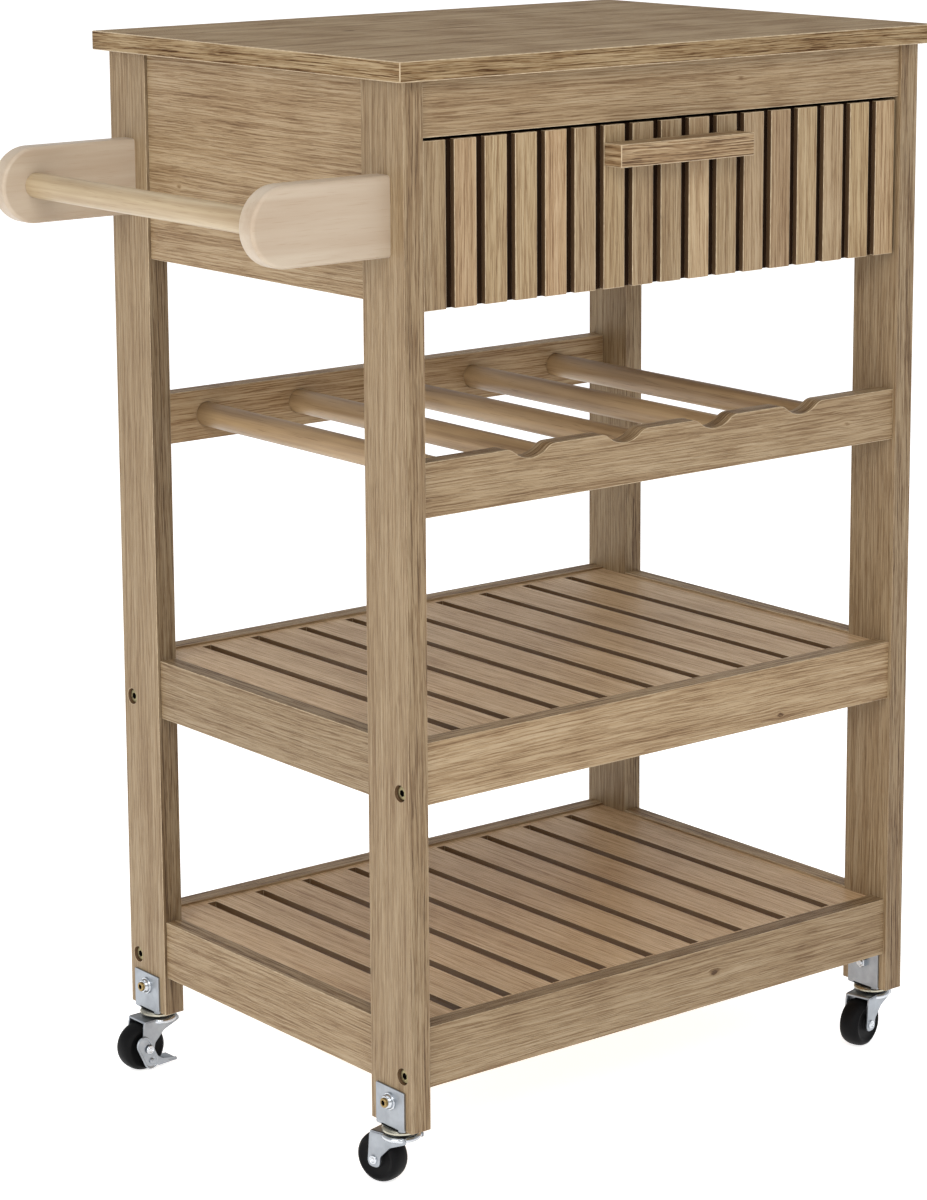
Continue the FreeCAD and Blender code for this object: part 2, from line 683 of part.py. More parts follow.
def make_caster_bracket(caster):
    """A U-shaped plate round the leg, with the fixed race and the king pin under it."""
    outer = "(leg_thick / 2 + plate_thick)"
    cheeks = [box(x, "-plate_width / 2", "-plate_thick", "plate_thick", "plate_width",
                  "plate_rise + plate_thick") for x in (f"-{outer}", "leg_thick / 2")]
    base = box(f"-{outer}", "-plate_width / 2", "-plate_thick", f"2 * {outer}", "plate_width", "plate_thick")
    race = cylinder("Z", "0", "0", "-plate_thick - race_height", "race_radius", "race_height")
    pin_low = "(fork_top_drop + fork_top_thick + lever_play)"
    pin = cylinder("Z", "0", "0", f"-{pin_low}", "king_radius", pin_low)
    rivet = cylinder("Z", "0", "0", f"-{pin_low} - plate_thick", "rivet_radius", "plate_thick")
    hole = cylinder("X", f"-{outer}", "0", "caster_bolt_rise", "bolt_shank_radius + bolt_play",
                    f"2 * {outer}")
    bracket = cut(fuse(cheeks + [base, race, pin, rivet]), [hole])
    node(stand(bracket, caster), f"caster_bracket_{caster}")


def make_fork(caster, angle):
    """A pressed fork: top plate under the race, and two cheeks that hold the axle."""
    body = new_body()
    side = sketch_on(body, "XZ_Plane")
    polygon(side, [
        ("-fork_nose", "-fork_top_drop"),
        ("fork_tail", "-fork_top_drop"),
        ("trail + fork_eye_radius", "wheel_radius - foot_z"),
        ("trail", "wheel_radius - foot_z - fork_eye_radius"),
        ("trail - fork_eye_radius * 0.8", "wheel_radius - foot_z - fork_eye_radius * 0.6"),
        ("trail - fork_neck_back", "wheel_radius - foot_z + fork_neck_rise"),
        ("trail - fork_throat_back", "wheel_radius - foot_z + fork_throat_rise"),
        ("-fork_nose", "-fork_top_drop - fork_skirt"),
    ])
    pad(body, side, "fork_width", middle=True)
    eye = sketch_on(body, "XZ_Plane")
    circle(eye, "trail", "wheel_radius - foot_z", "fork_eye_radius")
    pad(body, eye, "fork_width", middle=True)
    inside = sketch_on(body, "YZ_Plane")
    gap = "(fork_width / 2 - fork_cheek)"
    rectangle(inside, f"-{gap}", "-foot_z", gap, "-fork_top_drop - fork_top_thick")
    pocket(body, inside, "3 * wheel_radius", reverse=True)
    pocket(body, inside, "3 * wheel_radius")
    disc = sketch_on(body, "XY_Plane", "-fork_top_drop - fork_top_thick")
    circle(disc, "0", "0", "fork_disc_radius")
    pad(body, disc, "fork_top_thick")
    pin = sketch_on(body, "XY_Plane", "-fork_top_drop")
    circle(pin, "0", "0", "king_radius + pin_play")
    pocket(body, pin, "fork_top_thick")
    axle = sketch_on(body, "XZ_Plane")
    circle(axle, "trail", "wheel_radius - foot_z", "axle_radius")
    pocket(body, axle, "fork_width", middle=True)
    node(stand(body, caster, angle), f"caster_fork_{caster}")


def make_wheel(caster, angle):
    """A crowned wheel turned about its own axis, with a bore that runs on the axle."""
    body = new_body()
    section = sketch_on(body, "XY_Plane")
    half = "wheel_width / 2"
    polygon(section, [
        ("axle_radius + pin_play", f"-{half}"),
        ("wheel_shoulder", f"-{half}"),
        ("wheel_radius - 1", "-wheel_width * 0.3"),
        ("wheel_radius", "-wheel_width * 0.1"),
        ("wheel_radius", "wheel_width * 0.1"),
        ("wheel_radius - 1", "wheel_width * 0.3"),
        ("wheel_shoulder", half),
        ("axle_radius + pin_play", half),
    ])
    turned = body.newObject("PartDesign::Revolution", "Turned")
    turned.Profile = section
    turned.ReferenceAxis = (section, ["V_Axis"])
    turned.Angle = 360
    body.Tip = turned
    put_on_axle(body, caster, angle)
    node(body, f"caster_wheel_{caster}")


def put_on_axle(item, caster, angle):
    """Move a piece drawn round the axle's middle to the rest place of that axle."""
    end, side = caster.split("_")
    x, y = swivel_place(end, side)
    item.Placement = FreeCAD.Placement(FreeCAD.Vector(), FreeCAD.Rotation(FreeCAD.Vector(0, 0, 1), angle))
    place(item, f"{x} + trail * cos({angle})", f"{y} + trail * sin({angle})", "wheel_radius")


def make_axle(caster, angle, braked):
    """A riveted axle; it is longer on the side that carries a brake lever."""
    inner = "fork_width / 2"
    outer = f"({inner} + lever_thick + 2 * lever_play)" if braked else f"({inner})"
    shank = cylinder("Y", "0", f"-{inner}", "0", "axle_radius", f"{inner} + {outer}")
    near = cylinder("Y", "0", outer, "0", "axle_head_radius", "axle_head_thick")
    far = cylinder("Y", "0", f"-{inner} - axle_head_thick", "0", "axle_head_radius", "axle_head_thick")
    axle = fuse([shank, near, far])
    put_on_axle(axle, caster, angle)
    node(axle, f"caster_axle_{caster}")


def make_brake_lever(caster, angle):
    """An oval plate outside one cheek, turning on the axle, with a pedal under the front of the fork."""
    body = new_body()
    start = "-(fork_width / 2 + lever_play)"
    upper = ("lever_upper_back", "lever_upper_rise")
    lower = ("-lever_lower_front", "-lever_lower_drop")
    plate = sketch_on(body, "XZ_Plane", f"{start} - lever_thick")
    polygon(plate, [
        ("lever_upper_back + lever_side_across", "lever_upper_rise - lever_side_drop"),
        ("lever_upper_back - lever_side_across", "lever_upper_rise + lever_side_drop"),
        ("-lever_lower_front - lever_side_across", "-lever_lower_drop + lever_side_drop"),
        ("-pedal_reach", "-pedal_drop + pedal_arm"),
        ("-pedal_reach", "-pedal_drop"),
        ("-2 * lever_lower_front", "-lever_lower_drop - lever_side_across"),
        ("-lever_lower_front + lever_side_across", "-lever_lower_drop - lever_side_drop"),
    ])
    pad(body, plate, "lever_thick")
    for across, up in (upper, lower):
        end = sketch_on(body, "XZ_Plane", f"{start} - lever_thick")
        circle(end, across, up, "lever_radius")
        pad(body, end, "lever_thick")
    pedal = sketch_on(body, "XZ_Plane", f"{start} - lever_thick")
    rectangle(pedal, "-pedal_reach", "-pedal_drop", "-trail", "-pedal_drop + lever_thick")
    pad(body, pedal, "pedal_width")
    bore = sketch_on(body, "XZ_Plane", f"{start} - lever_thick")
    circle(bore, "0", "0", "axle_radius + pin_play")
    pocket(body, bore, "3 * lever_thick", middle=True)
    put_on_axle(body, caster, angle)
    node(body, f"brake_lever_{caster}")


def make_casters():
    for caster, angle, braked in CASTERS:
        make_caster_bracket(caster)
        make_fork(caster, angle)
        make_wheel(caster, angle)
        make_axle(caster, angle, braked)
        if braked:
            make_brake_lever(caster, angle)


# Build, check and write --------------------------------------------------------------------------

def check():
    """Stop if any object failed or any piece is not a sound solid."""
    for item in DOC.Objects:
        if "Invalid" in item.State or "Error" in item.State:
            raise RuntimeError(f"{item.Label} failed: {item.State}")
    for item in NODES:
        if item.Shape.isNull() or not item.Shape.isValid() or not item.Shape.Solids:
            raise RuntimeError(f"{item.Label} has no sound solid")


def write():
    os.makedirs("parts", exist_ok=True)
    for item in NODES:
        item.Shape.exportStep(f"parts/{item.Label}.step")
    whole = Part.makeCompound([item.Shape for item in NODES]).optimalBoundingBox()
    corners = (whole.XMin, whole.YMin, whole.ZMin, whole.XMax, whole.YMax, whole.ZMax)
    print(len(NODES), "pieces; box", [round(value, 2) for value in corners])


fill_sheet()
make_top()
make_legs()
make_drawer_surround()
make_shelf("mid", "mid_rail_z")
make_shelf("low", "low_rail_z")
make_wine_rack()
make_towel_bar()
make_drawer_front()
make_drawer_box()
make_runners()
make_fasteners()
make_casters()
DOC.recompute()
check()
write()
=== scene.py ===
"""Looks of the kitchen island cart: oak-look laminate boards, a slatted drawer, wine dowels and casters.

Metres, +Z up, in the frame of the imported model. The drawer faces -Y and the towel bar is at -X.
"""
import json
import math

import bmesh
import bpy
from mathutils import Matrix, Vector


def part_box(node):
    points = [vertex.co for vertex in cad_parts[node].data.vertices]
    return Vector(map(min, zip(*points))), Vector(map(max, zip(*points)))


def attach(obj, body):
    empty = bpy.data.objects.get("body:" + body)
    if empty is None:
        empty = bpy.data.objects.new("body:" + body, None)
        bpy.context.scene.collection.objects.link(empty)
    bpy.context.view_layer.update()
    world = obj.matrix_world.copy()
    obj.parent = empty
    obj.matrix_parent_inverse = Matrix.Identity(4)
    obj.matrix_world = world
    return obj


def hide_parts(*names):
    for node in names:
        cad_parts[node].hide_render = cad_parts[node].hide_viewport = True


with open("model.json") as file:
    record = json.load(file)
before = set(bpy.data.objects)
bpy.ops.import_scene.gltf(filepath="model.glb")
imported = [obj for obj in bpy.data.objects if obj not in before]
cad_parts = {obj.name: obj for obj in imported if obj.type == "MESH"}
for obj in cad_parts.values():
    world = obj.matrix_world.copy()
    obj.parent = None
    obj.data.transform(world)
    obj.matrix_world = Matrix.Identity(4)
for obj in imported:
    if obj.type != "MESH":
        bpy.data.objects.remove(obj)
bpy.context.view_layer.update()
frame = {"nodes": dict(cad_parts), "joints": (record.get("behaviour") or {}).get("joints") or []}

NODES = frame["nodes"]
JOINTS = {joint["name"]: joint for joint in frame["joints"]}
MM = 0.001
X, Y, Z = 0, 1, 2
CASTERS = ("front_left", "front_right", "back_left", "back_right")
FRAME_BOLT_Y = {end: sum(corner.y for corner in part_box(f"low_rail_{end}")) / 2 for end in ("front", "back")}
FRAME_BOLT_Z = tuple(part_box(f"{level}_rail_front")[0].z + 11 * MM for level in ("low", "mid"))


# Camera, floor and light -------------------------------------------------------------------------

CAMERA_PLACE = (-1.7349, -2.1914, 1.0698)
CAMERA_YAW = 38.34
CAMERA_PITCH = -11.06
CAMERA_ROLL = -0.33
CAMERA_LENS = 106.1
CAMERA_SHIFT = -0.125
AIM = (0.0, 0.0, 0.45)
FLOOR_GLOW = 0.72


def make_camera():
    """A long lens from the front left, a little above the worktop."""
    yaw = math.radians(CAMERA_YAW)
    pitch = math.radians(CAMERA_PITCH)
    roll = math.radians(CAMERA_ROLL)
    forward = Vector((math.sin(yaw) * math.cos(pitch), math.cos(yaw) * math.cos(pitch), math.sin(pitch)))
    right = Vector((math.cos(yaw), -math.sin(yaw), 0))
    up = right.cross(forward)
    turned_right = right * math.cos(roll) + up * math.sin(roll)
    turned_up = up * math.cos(roll) - right * math.sin(roll)
    camera = bpy.data.objects.new("camera", bpy.data.cameras.new("camera"))
    bpy.context.scene.collection.objects.link(camera)
    turn = Matrix((turned_right, turned_up, -forward)).transposed()
    camera.matrix_world = Matrix.Translation(CAMERA_PLACE) @ turn.to_4x4()
    camera.data.lens = CAMERA_LENS
    camera.data.sensor_width = 36
    camera.data.shift_y = CAMERA_SHIFT
    bpy.context.scene.camera = camera


def make_floor():
    """A plain pale floor."""
    mesh = bpy.data.meshes.new("floor")
    reach = 60
    corners = [(-reach, -reach, 0), (reach, -reach, 0), (reach, reach, 0), (-reach, reach, 0)]
    mesh.from_pydata(corners, [], [(0, 1, 2, 3)])
    floor = bpy.data.objects.new("floor", mesh)
    bpy.context.scene.collection.objects.link(floor)
    graph = Graph("floor_paint")
    graph.shader["Base Color"].default_value = (0.93, 0.93, 0.93, 1)
    graph.shader["Roughness"].default_value = 0.9
    graph.shader["Specular IOR Level"].default_value = 0.1
    graph.shader["Emission Color"].default_value = (1, 1, 1, 1)
    graph.shader["Emission Strength"].default_value = FLOOR_GLOW
    mesh.materials.append(graph.material)


def area_light(name, place, side, power, tint):
    """A square soft light that points at the middle of the cart."""
    light = bpy.data.lights.new(name, "AREA")
    light.shape = "SQUARE"
    light.size = side
    light.energy = power
    light.color = tint
    lamp = bpy.data.objects.new(name, light)
    bpy.context.scene.collection.objects.link(lamp)
    lamp.location = place
    lamp.rotation_euler = (Vector(AIM) - Vector(place)).to_track_quat("-Z", "Y").to_euler()


def make_light():
    """A big soft light at the left, a fill at the front, one overhead, and a room brightest low down."""
    area_light("left_light", (-3.0, -0.9, 1.5), 2.0, 36, (1.0, 0.99, 0.97))
    area_light("front_light", (-1.1, -2.3, 2.3), 1.4, 34, (1.0, 0.99, 0.97))
    area_light("top_light", (-0.3, 0.2, 3.2), 2.6, 23, (0.99, 0.995, 1.0))
    world = bpy.data.worlds.new("room")
    bpy.context.scene.world = world
    world.use_nodes = True
    nodes = world.node_tree.nodes
    links = world.node_tree.links
    height = nodes.new("ShaderNodeSeparateXYZ")
    links.new(nodes.new("ShaderNodeTexCoord").outputs["Generated"], height.inputs[0])
    band = nodes.new("ShaderNodeValToRGB")
    links.new(height.outputs["Z"], band.inputs[0])
    band.color_ramp.elements[0].position = 0.12
    band.color_ramp.elements[0].color = (0.74, 0.74, 0.74, 1)
    band.color_ramp.elements[1].position = 0.75
    band.color_ramp.elements[1].color = (0.45, 0.46, 0.48, 1)
    links.new(band.outputs[0], nodes["Background"].inputs["Color"])
    nodes["Background"].inputs["Strength"].default_value = 1.0
    bpy.context.scene.view_settings.view_transform = "Standard"


# Node graphs -------------------------------------------------------------------------------------

class Graph:
    """A node tree with short calls for the nodes used here: a material, or a node group."""

    def __init__(self, name, inputs=None, outputs=None):
        if inputs is None:
            self.material = bpy.data.materials.new(name)
            self.material.use_nodes = True
            self.tree = self.material.node_tree
            self.shader = self.tree.nodes["Principled BSDF"].inputs
            return
        self.tree = bpy.data.node_groups.new(name, "ShaderNodeTree")
        for label, kind in inputs:
            self.tree.interface.new_socket(label, in_out="INPUT", socket_type="NodeSocket" + kind)
        for label, kind in outputs:
            self.tree.interface.new_socket(label, in_out="OUTPUT", socket_type="NodeSocket" + kind)
        self.given = self.tree.nodes.new("NodeGroupInput").outputs
        self.result = self.tree.nodes.new("NodeGroupOutput").inputs

    def link(self, value, socket):
        """Set a socket to a number or tuple, or link another socket to it."""
        if isinstance(value, bpy.types.NodeSocket):
            self.tree.links.new(value, socket)
        else:
            socket.default_value = value

    def node(self, kind, **settings):
        made = self.tree.nodes.new("ShaderNode" + kind)
        for name, value in settings.items():
            setattr(made, name, value)
        return made

    def math(self, operation, first, second=0.0, third=0.0, clamp=False):
        made = self.node("Math", operation=operation, use_clamp=clamp)
        for value, socket in zip((first, second, third), made.inputs):
            self.link(value, socket)
        return made.outputs[0]

    def vector(self, operation, first, second=(0, 0, 0)):
        made = self.node("VectorMath", operation=operation)
        self.link(first, made.inputs[0])
        self.link(second, made.inputs[1])
        return made.outputs["Value" if operation == "LENGTH" else "Vector"]

    def split(self, vector):
        made = self.node("SeparateXYZ")
        self.link(vector, made.inputs[0])
        return made.outputs

    def join(self, *parts):
        made = self.node("CombineXYZ")
        for value, socket in zip(parts, made.inputs):
            self.link(value, socket)
        return made.outputs[0]

    def noise(self, vector, detail=2.0, roughness=0.5):
        """Noise from 0 to 1 over a vector that is already scaled."""
        made = self.node("TexNoise")
        self.link(vector, made.inputs["Vector"])
        made.inputs["Scale"].default_value = 1
        made.inputs["Detail"].default_value = detail
        made.inputs["Roughness"].default_value = roughness
        return made.outputs[0]

    def step(self, value, low, high):
        """0 below low and 1 above high, smooth between; low may be the larger."""
        made = self.node("MapRange", interpolation_type="SMOOTHSTEP")
        self.link(value, made.inputs["Value"])
        self.link(low, made.inputs["From Min"])
        self.link(high, made.inputs["From Max"])
        return made.outputs["Result"]

    def mix(self, factor, first, second, blend="MIX"):
        """Mix two colours."""
        made = self.node("Mix", data_type="RGBA", blend_type=blend)
        for value, index in ((factor, 0), (first, 6), (second, 7)):
            self.link(value, made.inputs[index])
        return made.outputs[2]

    def choose(self, factor, first, second):
        """Mix two vectors."""
        made = self.node("Mix", data_type="VECTOR")
        for value, index in ((factor, 0), (first, 4), (second, 5)):
            self.link(value, made.inputs[index])
        return made.outputs[1]

    def ramp(self, factor, stops):
        """A colour ramp given as pairs of place and colour."""
        made = self.node("ValToRGB")
        self.link(factor, made.inputs[0])
        band = made.color_ramp.elements
        for element, (place, colour) in zip((band[0], band[1]), (stops[0], stops[-1])):
            element.position = place
            element.color = (*colour, 1)
        for place, colour in stops[1:-1]:
            band.new(place).color = (*colour, 1)
        return made.outputs[0]

    def bump(self, height, distance):
        made = self.node("Bump")
        made.inputs["Strength"].default_value = 1
        made.inputs["Distance"].default_value = distance
        self.link(height, made.inputs["Height"])
        self.link(made.outputs[0], self.shader["Normal"])

    def group(self, tree, *values):
        made = self.node("Group", node_tree=tree)
        for value, socket in zip(values, made.inputs):
            self.link(value, socket)
        return made.outputs


def colour(red, green, blue):
    """Linear colour from values of 0 to 255 as seen on a screen."""
    return tuple((value / 255) ** 2.2 for value in (red, green, blue))


# Wood --------------------------------------------------------------------------------------------

def knot_group():
    """Grain that flows round a knot. Grain coordinates: X along, Y across and Z through the board."""
    graph = Graph("knot", (("Grain", "Vector"), ("Place", "Vector"), ("Radius", "Float")),
                  (("Grain", "Vector"), ("Dark", "Float")))
    grain, place, radius = graph.given[0], graph.given[1], graph.given[2]
    offset = graph.vector("MULTIPLY", graph.vector("SUBTRACT", grain, place), (0.55, 1, 0.25))
    ragged = graph.noise(graph.vector("MULTIPLY", grain, (300, 300, 300)), 2)
    distance = graph.math("DIVIDE", graph.vector("LENGTH", offset), radius)
    distance = graph.math("ADD", distance, graph.math("MULTIPLY", graph.math("SUBTRACT", ragged, 0.5), 0.5))
    squared = graph.math("MULTIPLY", distance, distance)
    nearness = graph.math("DIVIDE", 1.0, graph.math("MAXIMUM", squared, 0.7))
    across = graph.split(offset)[1]
    push = graph.math("MULTIPLY", graph.math("MULTIPLY", across, nearness), -1.0)
    moved = graph.vector("ADD", grain, graph.join(0.0, push, 0.0))
    graph.link(moved, graph.result[0])
    graph.link(graph.step(distance, 1.5, 0.35), graph.result[1])
    return graph.tree


def oak_group():
    """Oak figure as a darkness from 0 to 1 and a height; grain coordinates as in the knot group."""
    inputs = (("Grain", "Vector"), ("Figure", "Float"), ("Lines", "Float"), ("Knot", "Float"))
    graph = Graph("oak_figure", inputs, (("Dark", "Float"), ("Height", "Float")))
    grain, figure, lines, knot = graph.given[0], graph.given[1], graph.given[2], graph.given[3]

    def layer(vector, along, across, detail=1.0):
        """Noise stretched along the grain, with its cells sheared so that their ends don't line up."""
        place = graph.split(vector)
        over = graph.math("MULTIPLY", place[1], across)
        down = graph.math("MULTIPLY_ADD", over, 0.37, graph.math("MULTIPLY", place[0], along))
        return graph.noise(graph.join(down, over, graph.math("MULTIPLY", place[2], 20)), detail, 0.65)

    sway = graph.math("SUBTRACT", layer(grain, 2.6, 14), 0.5)
    ripple = graph.math("SUBTRACT", layer(grain, 48, 190), 0.5)
    shift = graph.math("ADD", graph.math("MULTIPLY", sway, 11 * MM), graph.math("MULTIPLY", ripple, 1.0 * MM))
    wavy = graph.vector("ADD", grain, graph.join(0.0, shift, 0.0))
    broad = graph.step(layer(wavy, 1.2, 60), 0.25, 0.78)
    streak = graph.step(layer(wavy, 5, 310, 2), 0.28, 0.74)
    line = graph.step(layer(wavy, 7, 700, 2), 0.46, 0.58)
    dash = graph.step(layer(wavy, 34, 1000, 2), 0.50, 0.59)
    speck = layer(wavy, 300, 2200)
    parts = graph.split(wavy)
    depth = graph.math("MULTIPLY_ADD", layer(grain, 3, 8), 9 * MM, graph.math("MULTIPLY", parts[0], 0.035))
    radius = graph.vector("LENGTH", graph.join(parts[1], depth, 0.0))
    ring = graph.math("MULTIPLY_ADD", graph.math("SINE", graph.math("MULTIPLY", radius, 1900)), 0.5, 0.5)
    late = graph.math("MULTIPLY", graph.math("POWER", ring, 1.6), graph.step(layer(grain, 5, 30), 0.3, 0.6))
    fine = graph.math("MULTIPLY_ADD", line, 0.25, graph.math("MULTIPLY", dash, 0.28))
    dark = graph.math("MULTIPLY_ADD", fine, lines, graph.math("MULTIPLY", knot, 0.8))
    for amount, part in ((0.15, broad), (0.20, streak), (0.18, speck)):
        dark = graph.math("MULTIPLY_ADD", part, amount, dark)
    rings = graph.math("MULTIPLY", graph.math("MULTIPLY", late, figure), 0.20)
    dark = graph.math("ADD", dark, rings, clamp=True)
    graph.link(dark, graph.result[0])
    height = graph.math("MULTIPLY_ADD", dash, -0.7, graph.math("MULTIPLY_ADD", line, -0.3, 1.0))
    graph.link(height, graph.result[1])
    return graph.tree


KNOT = knot_group()
OAK = oak_group()
# Brown of the leg bores: the board core and painted shade
CORE_BROWN_AND_SHADE = colour(92, 70, 48)


def grain_coordinates(graph, box, along):
    """Coordinates along, across and through the board's faces, in metres from its middle.

    Each face is its own sheet of laminate. On the end faces the grain runs the long way, as on an edge band.
    The second result is 1 on the edge bands and 0 on the two broad faces.
    """
    low, high = box
    others = [axis for axis in range(3) if axis != along]
    across, through = sorted(others, key=lambda axis: low[axis] - high[axis])
    coordinates = graph.node("TexCoord")
    centred = graph.split(graph.vector("SUBTRACT", coordinates.outputs["Object"], tuple((low + high) / 2)))
    facing = graph.split(graph.vector("ABSOLUTE", coordinates.outputs["Normal"]))
    face = graph.join(centred[along], centred[across], centred[through])
    edge = graph.join(centred[along], centred[through], centred[across])
    band = graph.join(centred[across], centred[through], centred[along])
    square_on = 0.72
    on_edge = graph.math("GREATER_THAN", facing[across], square_on)
    on_end = graph.math("GREATER_THAN", facing[along], square_on)
    grain = graph.choose(on_end, graph.choose(on_edge, face, edge), band)
    return grain, graph.math("MAXIMUM", on_edge, on_end)


def wood_colours(tone, warmth=1.0, contrast=1.0):
    """Four colours of the oak laminate from light to dark."""
    shades = ((173, 153, 124), (152, 129, 98), (123, 97, 68), (80, 57, 35))
    middle = colour(*shades[1])
    stops = []
    for shade in shades:
        mixed = [centre + (value - centre) * contrast for value, centre in zip(colour(*shade), middle)]
        stops.append(tuple(tone * value * factor for value, factor in zip(mixed, (1.0, 1.0, 1.0 / warmth))))
    return stops


def finish_wood(graph, dark, height, stops, roughness, gloss=0.3):
    """Colour, gloss and relief of a wood surface from its figure; gives the colour."""
    base = graph.ramp(dark, ((0.0, stops[0]), (0.36, stops[1]), (0.68, stops[2]), (1.0, stops[3])))
    graph.link(base, graph.shader["Base Color"])
    graph.link(graph.math("MULTIPLY_ADD", dark, 0.14, roughness), graph.shader["Roughness"])
    graph.shader["Specular IOR Level"].default_value = gloss
    graph.bump(height, 0.16 * MM)
    return base


def bore_shade(graph, name, base):
    """The inside of a leg's bolt bores is painted brown: partly the brown board core, partly painted shade in
    the bore.
    """
    low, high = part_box(name)
    reach = 6.75 * MM
    place = graph.split(graph.node("TexCoord").outputs["Object"])
    off_row = graph.math("SUBTRACT", place[1], FRAME_BOLT_Y["front" if "front" in name else "back"])
    inside = 0.0
    for height in FRAME_BOLT_Z:
        off = graph.join(0.0, off_row, graph.math("SUBTRACT", place[2], height))
        near = graph.math("LESS_THAN", graph.vector("LENGTH", off), reach)
        inside = graph.math("MAXIMUM", inside, near)
    off_middle = graph.math("ABSOLUTE", graph.math("SUBTRACT", place[0], (low.x + high.x) / 2))
    sunk = graph.math("LESS_THAN", off_middle, (high.x - low.x) / 2 - 0.1 * MM)
    return graph.mix(graph.math("MULTIPLY", inside, sunk), base, (*CORE_BROWN_AND_SHADE, 1))


def oak(name, along, tone=1.0, warmth=1.0, contrast=1.0, figure=0.0, lines=0.85, knots=(), roughness=0.46,
        gloss=0.3, band=1.0, walls=None):
    """Laminate for one board. Knots are (along, across, radius) in metres from the board's middle.

    The narrow faces are the board's colour times band; a band below 1 darkens them as painted shade. A colour
    for walls shows the bare core of the board there instead, as in the slots of a shelf.
    """
    graph = Graph("oak_" + name)
    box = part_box(name)
    grain, banded = grain_coordinates(graph, box, along)
    dark_knot = 0.0
    for where, over, radius in knots:
        flowed = graph.group(KNOT, grain, (where, over, 0.0), radius)
        grain = flowed[0]
        dark_knot = graph.math("MAXIMUM", dark_knot, flowed[1])
    seed = sum(ord(letter) for letter in name) * 0.37
    spread = graph.vector("ADD", grain, (seed, 0.0, 0.0))
    line_depth = graph.math("MULTIPLY_ADD", banded, 0.45, lines)
    pattern = graph.group(OAK, spread, figure, line_depth, dark_knot)
    base = finish_wood(graph, pattern[0], pattern[1], wood_colours(tone, warmth, contrast), roughness, gloss)
    # band below 1 paints shade on the narrow faces
    if band != 1:
        base = graph.mix(banded, base, graph.mix(1.0, base, (band, band, band, 1), "MULTIPLY"))
    if walls:
        base = graph.mix(banded, base, (*walls, 1))
    if name.startswith("leg"):
        base = bore_shade(graph, name, base)
    graph.link(base, graph.shader["Base Color"])
    return graph.material


def pale_edge_highlight():
    """The thin bright line where an edge band meets a face: partly the band's own pale edge, partly a painted
    highlight along the rounded edge.
    """
    graph = Graph("pale_edge_highlight")
    place = graph.node("TexCoord").outputs["Object"]
    speckle = graph.noise(graph.vector("MULTIPLY", place, (220, 220, 220)), 2)
    base = graph.ramp(speckle, ((0.3, colour(150, 130, 103)), (0.7, colour(186, 166, 136))))
    graph.link(base, graph.shader["Base Color"])
    graph.shader["Roughness"].default_value = 0.4
    return graph.material


def soften(item, width, edge_material=True):
    """Clean a CAD mesh and round its edges a little, by modifiers only."""
    weld = item.modifiers.new("weld", "WELD")
    weld.merge_threshold = 0.01 * MM
    flat = item.modifiers.new("flat", "DECIMATE")
    flat.decimate_type = "DISSOLVE"
    flat.angle_limit = math.radians(0.5)
    bevel = item.modifiers.new("bevel", "BEVEL")
    bevel.width = width
    bevel.segments = 2
    bevel.limit_method = "ANGLE"
    bevel.angle_limit = math.radians(40)
    if edge_material:
        bevel.material = 1


def dress(name, material, edge=None):
    """Give a carried-over CAD node its material, and one for its rounded edges."""
    item = NODES[name]
    item.data.materials.clear()
    item.data.materials.append(material)
    if edge:
        item.data.materials.append(edge)
    return item


PALE_EDGE_HIGHLIGHT = pale_edge_highlight()


def dress_board(name, along, width=0.5 * MM, **looks):
    soften(dress(name, oak(name, along, **looks), PALE_EDGE_HIGHLIGHT), width)


